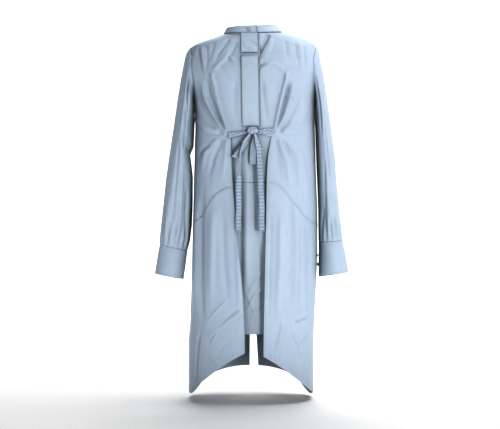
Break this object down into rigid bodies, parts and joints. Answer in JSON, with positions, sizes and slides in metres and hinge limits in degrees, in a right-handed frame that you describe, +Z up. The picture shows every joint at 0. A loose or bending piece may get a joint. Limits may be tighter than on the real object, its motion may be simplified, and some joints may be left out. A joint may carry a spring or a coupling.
{
  "type": "patient gown",
  "caption": "Knee-length poplin gown, long cuffed sleeves, band collar, concealed front placket, tied waist, loose front drapes and a pointed hem",
  "frame": {"origin": "middle of the neck, level with the collar seam at the back", "axes": "+Z up, the front faces -Y, +X is the wearer's left"},
  "size_m": [0.5626, 0.2645, 1.0759],
  "materials": {
    "poplin": "pale blue cotton poplin, fine plain weave with a faint sheen",
    "interlining": "white fused interlining, hidden between two plies",
    "label": "blank satin label",
    "button": "pale blue pearly resin"
  },
  "bodies": {
    "gown": {"collar_band_outer": "poplin", "collar_interlining": "interlining", "collar_band_inner": "poplin", "neck_label": "label", "collar_button": "button", "back_yoke": "poplin", "back_bodice": "poplin", "front_left": "poplin", "front_right": "poplin", "button_stand": "poplin", "buttonhole_strip": "poplin", "placket_top": "poplin", "placket_button_1": "button", "placket_button_2": "button", "placket_button_3": "button", "placket_button_4": "button", "centre_bodice": "poplin", "centre_skirt": "poplin", "skirt_side_left": "poplin", "skirt_side_right": "poplin", "back_skirt_left": "poplin", "back_skirt_right": "poplin", "tie_strap_left": "poplin", "tie_strap_right": "poplin", "bow_knot": "poplin"},
    "placket_flap": {"placket_cover": "poplin", "placket_interlining": "interlining"},
    "drape_left": {"front_drape_left": "poplin"},
    "drape_right": {"front_drape_right": "poplin"},
    "vent_left": {"back_vent_left": "poplin"},
    "vent_right": {"back_vent_right": "poplin"},
    "tail_left": {"tie_tail_left": "poplin"},
    "tail_right": {"tie_tail_right": "poplin"},
    "loop_left": {"bow_loop_left": "poplin"},
    "loop_right": {"bow_loop_right": "poplin"},
    "arm_left": {"sleeve_left": "poplin", "slit_binding_left": "poplin", "cuff_inner_left": "poplin", "cuff_interlining_left": "interlining", "cuff_outer_left": "poplin", "cuff_lap_left": "poplin", "cuff_button_left_1": "button", "cuff_button_left_2": "button"},
    "arm_right": {"sleeve_right": "poplin", "slit_binding_right": "poplin", "cuff_inner_right": "poplin", "cuff_interlining_right": "interlining", "cuff_outer_right": "poplin", "cuff_lap_right": "poplin", "cuff_button_right_1": "button", "cuff_button_right_2": "button"}
  },
  "joints": [
    {"name": "sleeve_left_lift", "type": "hinge", "parent": "gown", "child": "arm_left", "pos_m": [0.1785, 0, -0.0395], "axis": [0, -1, 0], "range_deg": [0, 85]},
    {"name": "sleeve_right_lift", "type": "hinge", "parent": "gown", "child": "arm_right", "pos_m": [-0.1785, 0, -0.0395], "axis": [0, 1, 0], "range_deg": [0, 85]},
    {"name": "placket_cover_open", "type": "hinge", "parent": "gown", "child": "placket_flap", "pos_m": [-0.0288, -0.1268, -0.17], "axis": [0.019, -0.02, -0.9996], "range_deg": [0, 120]},
    {"name": "drape_right_fold", "type": "hinge", "parent": "gown", "child": "drape_right", "pos_m": [-0.1141, -0.10965, -0.72104], "axis": [-0.1297, 0.0451, -0.9905], "range_deg": [0, 90]},
    {"name": "drape_left_fold", "type": "hinge", "parent": "gown", "child": "drape_left", "pos_m": [0.11474, -0.10933, -0.72104], "axis": [-0.1275, -0.0446, 0.9908], "range_deg": [0, 90]},
    {"name": "vent_right_fold", "type": "hinge", "parent": "gown", "child": "vent_right", "pos_m": [-0.05994, 0.12207, -0.83382], "axis": [0.295, 0.0228, 0.9552], "range_deg": [0, 60]},
    {"name": "vent_left_fold", "type": "hinge", "parent": "gown", "child": "vent_left", "pos_m": [0.05472, 0.12243, -0.81744], "axis": [0.2964, -0.0197, -0.9549], "range_deg": [0, 60]},
    {"name": "tie_tail_left_lift", "type": "hinge", "parent": "gown", "child": "tail_left", "pos_m": [0.0105, -0.1316, -0.3037], "axis": [-1, 0, 0], "range_deg": [0, 70]},
    {"name": "tie_tail_right_lift", "type": "hinge", "parent": "gown", "child": "tail_right", "pos_m": [-0.0025, -0.1316, -0.3037], "axis": [-1, 0, 0], "range_deg": [0, 70]},
    {"name": "bow_loop_left_swing", "type": "hinge", "parent": "gown", "child": "loop_left", "pos_m": [0.0105, -0.1233, -0.303], "axis": [0, -1, 0], "range_deg": [0, 15]},
    {"name": "bow_loop_right_swing", "type": "hinge", "parent": "gown", "child": "loop_right", "pos_m": [-0.0025, -0.1233, -0.3045], "axis": [0, 1, 0], "range_deg": [0, 15]}
  ]
}
